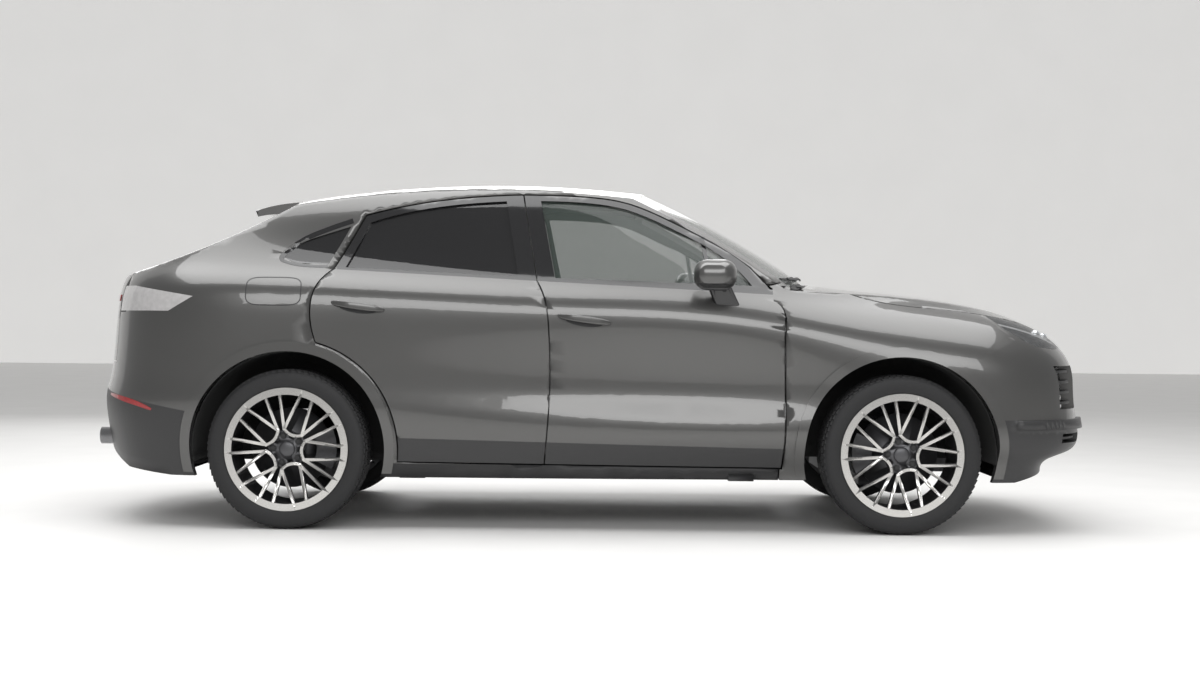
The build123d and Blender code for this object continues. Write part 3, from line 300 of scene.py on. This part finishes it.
# %% Piece helpers
def add_piece(name, shape, material, body, sharp_deg=35.0):
    """Turns a bmesh into a finished object that rides on a body."""
    bmesh.ops.recalc_face_normals(shape, faces=shape.faces)
    for face in shape.faces:
        face.smooth = True
    mesh = bpy.data.meshes.new(name)
    shape.to_mesh(mesh)
    shape.free()
    mesh.materials.append(material)
    mesh.set_sharp_from_angle(angle=math.radians(sharp_deg))
    piece = bpy.data.objects.new(name, mesh)
    scene.collection.objects.link(piece)
    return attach(piece, body)


def rounded_box(shape, size, place, edge=0.004, segments=3):
    """Adds a box of the given size, put in place by a matrix, with all its edges rounded."""
    made = bmesh.ops.create_cube(shape, size=1.0, matrix=place @ Matrix.Diagonal((*size, 1)))
    edges = list({edge_ for vert in made["verts"] for edge_ in vert.link_edges})
    bmesh.ops.bevel(shape, geom=edges, offset=edge, offset_type="OFFSET", affect="EDGES",
                    segments=segments, profile=0.5, material=-1)


# %% [markdown]
# Trim follows the curved skin, so its points are found by casting a ray onto the CAD solids. A
# ribbon starts as a flat grid: its length runs along a smooth path, its width lies across the path,
# and each vertex is dropped onto the skin. Solidify then gives the ribbon its thickness.

# %% Ribbons that lie on the skin
def ray_tree(names):
    shape = bmesh.new()
    for name in names:
        shape.from_mesh(nodes[name].data)
    tree = BVHTree.FromBMesh(shape)
    shape.free()
    return tree


side_nodes = ("body_side", "door_front", "door_rear", "glass_front", "glass_rear", "quarter_glass",
              "fender", "headlamp", "tail_lamp")
side_tree = {hand: ray_tree([f"{n}_{hand}" for n in side_nodes] + ["front_bumper", "rear_bumper"])
             for hand in SIDE_SIGN}
top_tree = ray_tree(["windscreen", "hood", "cowl", "headlamp_left", "headlamp_right", "roof_panel"])
rear_tree = ray_tree(["tailgate", "rear_bumper", "rear_glass", "spoiler"])


def drop(tree, start, direction, lift):
    """The point where a ray meets the skin, lifted along the skin's normal."""
    hit, normal, index, distance = tree.ray_cast(start, direction)
    if hit is None:
        hit, normal, index, distance = tree.find_nearest(start)
    if normal.dot(direction) > 0:
        normal = -normal
    return hit + normal * lift


def on_side(hand, lift):
    """A dropper from the side: takes X and Z."""
    sign = SIDE_SIGN[hand]
    return lambda x, z: drop(side_tree[hand], Vector((x, 1.3 * sign, z)), Vector((0, -sign, 0)), lift)


def on_top(lift):
    """A dropper from above: takes X and Y."""
    return lambda x, y: drop(top_tree, Vector((x, y, 2.0)), Vector((0, 0, -1)), lift)


def on_rear(lift):
    """A dropper from behind: takes Y and Z."""
    return lambda y, z: drop(rear_tree, Vector((-3.0, y, z)), Vector((1, 0, 0)), lift)


def smooth_path(points, count, closed=False):
    """Evenly numbered points and side directions on a smooth curve through the given points."""
    ends = [points[-1], *points, points[0], points[1]] if closed else [points[0], *points, points[-1]]
    ends = [Vector(p) for p in ends]
    spans = len(ends) - 3
    found = []
    for k in range(count + 1):
        place = k / count * spans
        span = min(int(place), spans - 1)
        t = place - span
        a, b, c, d = ends[span:span + 4]
        point = b + (c - a) * (t / 2) + (2 * a - 5 * b + 4 * c - d) * (t * t / 2) \
            + (3 * b - a - 3 * c + d) * (t ** 3 / 2)
        slope = (c - a) / 2 + (2 * a - 5 * b + 4 * c - d) * t + (3 * b - a - 3 * c + d) * (1.5 * t * t)
        slope = slope if slope.length > 1e-9 else c - b
        found.append((point, Vector((-slope.y, slope.x)).normalized()))
    return found


def ribbon(name, points, width, dropper, thick, material, body, closed=False, along=60, across=2, taper=0.0):
    """A ribbon on the skin along a path; taper narrows it towards both ends."""
    path = smooth_path(points, along, closed)
    shape = bmesh.new()
    bmesh.ops.create_grid(shape, x_segments=along, y_segments=across, size=1.0)
    for vert in shape.verts:
        step = round((vert.co.x + 1) / 2 * along)
        point, side = path[step]
        narrow = 1 - taper * abs(2 * step / along - 1) ** 2
        flat = point + side * (vert.co.y / 2 * width * narrow)
        vert.co = dropper(flat.x, flat.y)
    if closed:
        bmesh.ops.remove_doubles(shape, verts=shape.verts, dist=1e-5)
    bmesh.ops.recalc_face_normals(shape, faces=shape.faces)
    bmesh.ops.solidify(shape, geom=shape.faces[:], thickness=thick)
    return add_piece(name, shape, material, body)


def rounded_outline(centre, half, power=4.5, count=32):
    """Points on a rounded rectangle in a flat view."""
    found = []
    for k in range(count):
        turn = 2 * math.pi * k / count
        c, s = math.cos(turn), math.sin(turn)
        found.append((centre[0] + half[0] * math.copysign(abs(c) ** (2 / power), c),
                      centre[1] + half[1] * math.copysign(abs(s) ** (2 / power), s)))
    return found


# %% [markdown]
# Thin lines on the panels: the fuel flap's gap on the right rear quarter, the black moulding round
# the small rear quarter window, and the divider bar in the front door glass.

# %% Side lines and mouldings
FLAP_CENTRE = (-1.472, 1.1185)
FLAP_HALF = (0.128, 0.066)
ribbon("fuel_flap_gap", rounded_outline(FLAP_CENTRE, FLAP_HALF), 0.0045, on_side("right", 0.0004), 0.0006,
       satin_black, "body", closed=True, along=160, across=1)
QUARTER_EDGE = [(-1.2365, 1.246), (-1.3505, 1.250), (-1.4285, 1.264), (-1.4585, 1.290), (-1.3655, 1.370),
                (-1.2405, 1.427), (-1.1325, 1.466)]
DIVIDER = [(0.5495, 1.405), (0.5695, 1.300), (0.5945, 1.200)]
for hand in SIDE_SIGN:
    ribbon(f"quarter_moulding_{hand}", QUARTER_EDGE, 0.024, on_side(hand, 0.0008), 0.002, gloss_black, "body")
    ribbon(f"glass_divider_{hand}", DIVIDER, 0.020, on_side(hand, 0.001), 0.003, gloss_black,
           f"door_front_{hand}")
print("side lines on", len(SIDE_SIGN), "sides")

# %% [markdown]
# Each door has a pull handle: a bar that stands off the skin in the middle and comes back to it at
# both ends, over a thin dark ribbon on the skin that is painted shade for the finger recess. The bar is a box, cut
# along its length, bent by moving its rings and rounded by a bevel.

# %% Door handles
HANDLES = {"front": ((0.1155, 0.984), (-0.1365, 1.017)), "rear": ((-0.9495, 1.036), (-1.1995, 1.069))}
HANDLE_STAND_OFF = 0.034
HANDLE_ROUNDING = 0.0055
for end, (nose, tail) in HANDLES.items():
    for hand, sign in SIDE_SIGN.items():
        dropper = on_side(hand, 0.0)
        shape = bmesh.new()
        bmesh.ops.create_cube(shape, size=1.0)
        lengthwise = [e for e in shape.edges if abs((e.verts[0].co - e.verts[1].co).x) > 0.5]
        bmesh.ops.subdivide_edges(shape, edges=lengthwise, cuts=17, use_grid_fill=True)
        for vert in shape.verts:
            t = vert.co.x + 0.5
            arch = 1 - abs(2 * t - 1) ** 3
            x = tail[0] + (nose[0] - tail[0]) * t
            z = tail[1] + (nose[1] - tail[1]) * t + vert.co.z * (0.016 + 0.016 * arch)
            skin_point = dropper(x, z)
            out = HANDLE_STAND_OFF * arch - 0.006 + (0.014 if vert.co.y * sign > 0 else 0.0)
            vert.co = skin_point + Vector((0, sign * out, 0))
        corners = [e for e in shape.edges if len(e.link_faces) == 2 and e.calc_face_angle() > 0.9]
        bmesh.ops.bevel(shape, geom=corners, offset=HANDLE_ROUNDING, offset_type="OFFSET", affect="EDGES",
                        segments=4, profile=0.5, material=-1)
        add_piece(f"handle_{end}_{hand}", shape, paint, f"door_{end}_{hand}")
        # Under the bar a thin dark ribbon lies on the skin: painted shade where the finger recess would be.
        middle = ((nose[0] + tail[0]) / 2, (nose[1] + tail[1]) / 2 - 0.012)
        recess_shade_path = [(middle[0] - 0.085, middle[1] + 0.011), (middle[0], middle[1]),
               (middle[0] + 0.085, middle[1] - 0.011)]
        ribbon(f"handle_recess_shade_{end}_{hand}", recess_shade_path, 0.044, on_side(hand, 0.0006), 0.001, satin_black,
               f"door_{end}_{hand}", along=24, across=4, taper=0.75)
print("handles", len(HANDLES) * 2)

# %% [markdown]
# The wheels get their fasteners and a plain centre cap. Five bolts sit on one circle, so one bolt is
# made and the rest are turned copies. The cap is a low dome, with no mark on it.

# %% Wheel bolts and caps
HUB_FACE = 0.100
BOLT_CIRCLE_RADIUS = 0.065
BOLTS = 5
BOLT_TURN_DEG = 33
CAP_RADIUS = 0.038
CAP_HEIGHT = 0.012
for end, hand in CORNERS:
    sign = SIDE_SIGN[hand]
    centre = wheel_centre[end, hand]
    face_y = HUB_FACE * sign + centre.y
    turn = Matrix.Rotation(math.radians(-90 * sign), 4, "X")
    shape = bmesh.new()
    for k in range(BOLTS):
        angle = math.radians(360 / BOLTS * k + BOLT_TURN_DEG)
        at = Vector((centre.x + BOLT_CIRCLE_RADIUS * math.cos(angle), face_y,
                     centre.z + BOLT_CIRCLE_RADIUS * math.sin(angle)))
        bmesh.ops.create_cone(shape, cap_ends=True, segments=6, radius1=0.0125, radius2=0.0110, depth=0.016,
                              matrix=Matrix.Translation(at) @ turn)
        bmesh.ops.create_cone(shape, cap_ends=True, segments=20, radius1=0.0165, radius2=0.0155, depth=0.004,
                              matrix=Matrix.Translation(at) @ turn)
    add_piece(f"bolts_{end}_{hand}", shape, satin_black, f"wheel_{end}_{hand}")
    shape = bmesh.new()
    bmesh.ops.create_uvsphere(shape, u_segments=36, v_segments=16, radius=1.0,
                              matrix=Matrix.Translation((centre.x, face_y, centre.z))
                              @ Matrix.Diagonal((CAP_RADIUS, CAP_HEIGHT, CAP_RADIUS, 1)))
    add_piece(f"cap_{end}_{hand}", shape, dark_alloy, f"wheel_{end}_{hand}")
print("wheels with", BOLTS, "bolts and a cap:", len(CORNERS))

# %% [markdown]
# A road tyre's tread is rows of small blocks with grooves between them. The smooth copy of the tyre is
# pulled in by the groove depth where it meets the road, and one row of blocks at a time is spun
# round the axle. The outer rows lean over the shoulder.

# %% Tyre tread
GROOVE_DEPTH = 0.007
TREAD_STEPS = 76
# Each row: its place across the tyre, its lean in degrees and its width.
ROWS = ((-0.112, -27, 0.030), (-0.070, -5, 0.034), (-0.024, 0, 0.034),
        (0.024, 0, 0.034), (0.070, 5, 0.034), (0.112, 27, 0.030))
SKEW_DEG = 14
for end, hand in CORNERS:
    centre = wheel_centre[end, hand]
    carcass = bpy.data.objects[f"tyre_{end}_{hand}_skin"].data
    for vert in carcass.vertices:
        away = Vector((vert.co.x - centre.x, 0, vert.co.z - centre.z))
        if away.length > TYRE_RADIUS - GROOVE_DEPTH:
            away = away.normalized() * (TYRE_RADIUS - GROOVE_DEPTH)
            vert.co = Vector((centre.x + away.x, vert.co.y, centre.z + away.z))
    shape = bmesh.new()
    for row, (y, lean, wide) in enumerate(ROWS):
        radius = TYRE_RADIUS - GROOVE_DEPTH * 0.75 - (0.011 if abs(lean) > 10 else 0.0006)
        length = 2 * math.pi * radius / TREAD_STEPS * (0.80 if abs(lean) > 10 else 0.88)
        skew = Matrix.Rotation(math.radians(SKEW_DEG if y < 0 else -SKEW_DEG), 4, "Z")
        place = (Matrix.Translation((centre.x, centre.y + y, centre.z))
                 @ Matrix.Rotation(2 * math.pi / TREAD_STEPS * (row % 2) / 2, 4, "Y")
                 @ Matrix.Translation((0, 0, radius)) @ Matrix.Rotation(math.radians(lean), 4, "X") @ skew)
        made = bmesh.ops.create_cube(shape, size=1.0,
                                     matrix=place @ Matrix.Diagonal((length, wide, GROOVE_DEPTH * 1.35, 1)))
        block = list({f for v in made["verts"] for f in v.link_faces})
        bmesh.ops.spin(shape, geom=block, cent=centre, axis=(0, 1, 0),
                       angle=2 * math.pi * (TREAD_STEPS - 1) / TREAD_STEPS,
                       steps=TREAD_STEPS - 1, use_duplicate=True)
    add_piece(f"tread_{end}_{hand}", shape, tyre_rubber, f"wheel_{end}_{hand}")
print("tread blocks on a tyre:", len(ROWS) * TREAD_STEPS)

# %% [markdown]
# The wipers rest at the foot of the windscreen. Each is an arm and a blade, and both are ribbons
# dropped onto the glass from above and lifted a little off it.

# %% Wipers
WIPERS = {
    "right": ([(1.0645, -0.30), (1.0195, -0.50), (0.9695, -0.64)],
              [(1.0715, -0.06), (1.0095, -0.46), (0.9395, -0.67)]),
    "left": ([(1.0845, 0.05), (1.0645, 0.28), (1.0195, 0.48)],
             [(1.0795, 0.12), (1.0495, 0.33), (0.9795, 0.60)]),
}
for hand, (arm, blade) in WIPERS.items():
    ribbon(f"wiper_arm_{hand}", arm, 0.014, on_top(0.018), 0.006, satin_black, "body", along=24)
    ribbon(f"wiper_blade_{hand}", blade, 0.012, on_top(0.003), 0.014, satin_black, "body", along=32)
print("wipers", len(WIPERS))

# %% [markdown]
# Lamps: the front ones have a smoky lens with a light strip and two projectors behind it, and the rear
# ones have a plain clear lens. A slim red reflector sits low on each rear corner, and a red light bar
# joins the rear lamps across the tailgate.

# %% Lamp insides and reflectors
LIGHT_STRIP = [(1.9695, 0.770), (2.0695, 0.745), (2.1695, 0.700), (2.2595, 0.630), (2.3145, 0.530)]
PROJECTOR_RADIUS = 0.026
PROJECTORS = ((2.1945, 0.640), (2.2495, 0.560))
REFLECTOR = [(-2.3105, 0.618), (-2.2205, 0.602), (-2.1305, 0.582), (-2.0505, 0.556)]
for hand, sign in SIDE_SIGN.items():
    strip = [(x, y * sign) for x, y in LIGHT_STRIP]
    ribbon(f"lamp_strip_{hand}", strip, 0.016, on_top(-0.007), 0.002, lamp_frost, "body", along=40)
    shape = bmesh.new()
    for x, y in PROJECTORS:
        at = on_top(-0.016)(x, y * sign)
        bmesh.ops.create_uvsphere(shape, u_segments=28, v_segments=14, radius=PROJECTOR_RADIUS,
                                  matrix=Matrix.Translation(at))
    add_piece(f"lamp_projectors_{hand}", shape, lamp_bright, "body")
    ribbon(f"rear_reflector_{hand}", REFLECTOR, 0.024, on_side(hand, 0.001), 0.003, lamp_red, "body", taper=0.6)
LIGHT_BAR = [(-0.60, 1.085), (-0.30, 1.085), (0.0, 1.085), (0.30, 1.085), (0.60, 1.085)]
ribbon("light_bar", LIGHT_BAR, 0.030, on_rear(0.001), 0.004, lamp_red, "tailgate")
HIGH_LAMP = [(-0.16, 1.552), (0.0, 1.552), (0.16, 1.552)]
ribbon("high_brake_lamp", HIGH_LAMP, 0.010, on_rear(0.001), 0.002, lamp_red, "tailgate")
print("projectors in a headlamp:", len(PROJECTORS))

# %% [markdown]
# The seats are padded. Each is a cushion, a leaning back and a head rest: boxes cut into a grid,
# crowned by pushing the middle of every face outwards and rounded by a subdivision surface.

# %% Seats
def pad(name, size, place, crown, body="body"):
    """A crowned cushion: a box cut into a grid whose faces swell between the edges."""
    shape = bmesh.new()
    bmesh.ops.create_cube(shape, size=1.0)
    bmesh.ops.subdivide_edges(shape, edges=shape.edges[:], cuts=6, use_grid_fill=True)
    for vert in shape.verts:
        swell = [1 - (2 * abs(c)) ** 4 for c in vert.co]
        out = Vector([math.copysign(1, c) if abs(c) > 0.499 else 0 for c in vert.co])
        fullness = 1.0
        for c, s in zip(out, swell):
            fullness *= 1.0 if c else s
        stretched = Vector([c * s for c, s in zip(vert.co, size)])
        vert.co = stretched + out.normalized() * (crown * fullness - crown)
    bmesh.ops.transform(shape, matrix=place, verts=shape.verts)
    piece = add_piece(name, shape, leather, body, sharp_deg=60.0)
    rounding = piece.modifiers.new("rounding", "SUBSURF")
    rounding.levels = rounding.render_levels = 2
    return piece


SEAT_LEAN = math.radians(-22)
SEAT_OUT = 0.37
for hand, sign in SIDE_SIGN.items():
    y = SEAT_OUT * sign
    cushion = pad(f"seat_cushion_{hand}", (0.50, 0.50, 0.15),
                  Matrix.Translation((0.1895, y, 0.575)) @ Matrix.Rotation(math.radians(-3), 4, "Y"), 0.020)
    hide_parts(f"seat_front_{hand}")
    pad(f"seat_back_{hand}", (0.13, 0.50, 0.66),
        Matrix.Translation((-0.1555, y, 0.915)) @ Matrix.Rotation(SEAT_LEAN, 4, "Y"), 0.022)
    pad(f"head_rest_{hand}", (0.10, 0.25, 0.17),
        Matrix.Translation((-0.3305, y, 1.325)) @ Matrix.Rotation(SEAT_LEAN / 2, 4, "Y"), 0.018)
    shape = bmesh.new()
    rounded_box(shape, (0.42, 0.42, 0.20), Matrix.Translation((0.1795, y, 0.431)), 0.012)
    add_piece(f"seat_base_{hand}", shape, satin_black, "body")
rear_cushion = pad("rear_seat_cushion", (0.46, 1.16, 0.15),
                   Matrix.Translation((-0.6405, 0, 0.595)) @ Matrix.Rotation(math.radians(-3), 4, "Y"), 0.022)
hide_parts("seat_rear")
pad("rear_seat_back", (0.12, 1.16, 0.56),
    Matrix.Translation((-0.9555, 0, 0.890)) @ Matrix.Rotation(SEAT_LEAN, 4, "Y"), 0.022)
shape = bmesh.new()
rounded_box(shape, (0.42, 1.00, 0.22), Matrix.Translation((-0.7205, 0, 0.441)), 0.012)
add_piece("rear_seat_base", shape, satin_black, "body")

# %% [markdown]
# The floor is a pale plain sheet, and a faintly glowing wall stands far enough behind it that a
# camera can go all the way round the vehicle. The light comes from three large soft lamps and a pale
# world. The camera stands where the photograph was taken from: nearly a metre up and nearly nine
# metres to the right of the vehicle's middle, with a slight roll.

# %% Stage, light and camera
def stage_plane(name, size, location, tilt, material):
    shape = bmesh.new()
    bmesh.ops.create_grid(shape, x_segments=1, y_segments=1, size=size)
    bmesh.ops.transform(shape, matrix=Matrix.Translation(location) @ Matrix.Rotation(tilt, 4, "X"),
                        verts=shape.verts)
    mesh = bpy.data.meshes.new(name)
    shape.to_mesh(mesh)
    shape.free()
    mesh.materials.append(material)
    sheet = bpy.data.objects.new(name, mesh)
    scene.collection.objects.link(sheet)
    return sheet


floor_finish = finish_material("pale_floor", (0.84, 0.835, 0.825), 0.55, spread=0.02, scale=2.0)
WALL_COLOUR = (0.90, 0.895, 0.885)
wall_finish = finish_material("pale_wall", WALL_COLOUR, 0.8, spread=0.02, scale=1.0)
wall_shader = wall_finish.node_tree.nodes["Principled BSDF"]
wall_shader.inputs["Emission Color"].default_value = (*WALL_COLOUR, 1)
wall_shader.inputs["Emission Strength"].default_value = 0.35
STAGE_HALF_SIZE = 60.0
WALL_DISTANCE = 30.0
stage_plane("floor", STAGE_HALF_SIZE, Vector((0, 0, 0)), 0.0, floor_finish)
stage_plane("backdrop", STAGE_HALF_SIZE, Vector((0, WALL_DISTANCE, 0)), math.radians(90), wall_finish)


def soft_lamp(name, location, target, size, power):
    data = bpy.data.lights.new(name, "AREA")
    data.shape = "RECTANGLE"
    data.size, data.size_y = size
    data.energy = power
    lamp = bpy.data.objects.new(name, data)
    lamp.location = location
    lamp.rotation_mode = "QUATERNION"
    lamp.rotation_quaternion = (Vector(target) - Vector(location)).to_track_quat("-Z", "Y")
    scene.collection.objects.link(lamp)


soft_lamp("overhead", (0, -0.5, 5.5), (0, 0, 0), (9.0, 5.0), 420)
soft_lamp("near_side", (1.0, -9.0, 4.5), (0, 0, 0.7), (9.0, 3.0), 330)
soft_lamp("far_side", (-2.0, 7.5, 4.5), (0, 0, 0.8), (8.0, 3.0), 200)
world = bpy.data.worlds.new("pale_room")
world.use_nodes = True
world.node_tree.nodes["Background"].inputs["Color"].default_value = (0.82, 0.82, 0.82, 1)
world.node_tree.nodes["Background"].inputs["Strength"].default_value = 0.45
scene.world = world

PHOTO_WIDTH_PX = 1200
FOCAL_PX = 1704
HORIZON_PX = 326
MIDDLE_PX = 337.5
ROLL_DEG = 0.575
CAMERA_PLACE = (0.064, -8.96, 0.97)
camera_data = bpy.data.cameras.new("side_camera")
camera_data.sensor_width = 36.0
camera_data.lens = FOCAL_PX / PHOTO_WIDTH_PX * camera_data.sensor_width
camera = bpy.data.objects.new("side_camera", camera_data)
camera.location = CAMERA_PLACE
camera.rotation_mode = "XYZ"
pitch = math.atan((MIDDLE_PX - HORIZON_PX) / FOCAL_PX)
camera.matrix_world = (Matrix.Translation(camera.location) @ Matrix.Rotation(math.radians(90) - pitch, 4, "X")
                       @ Matrix.Rotation(math.radians(ROLL_DEG), 4, "Z"))
scene.collection.objects.link(camera)
scene.camera = camera
print("camera lens", round(camera_data.lens, 2), "mm")
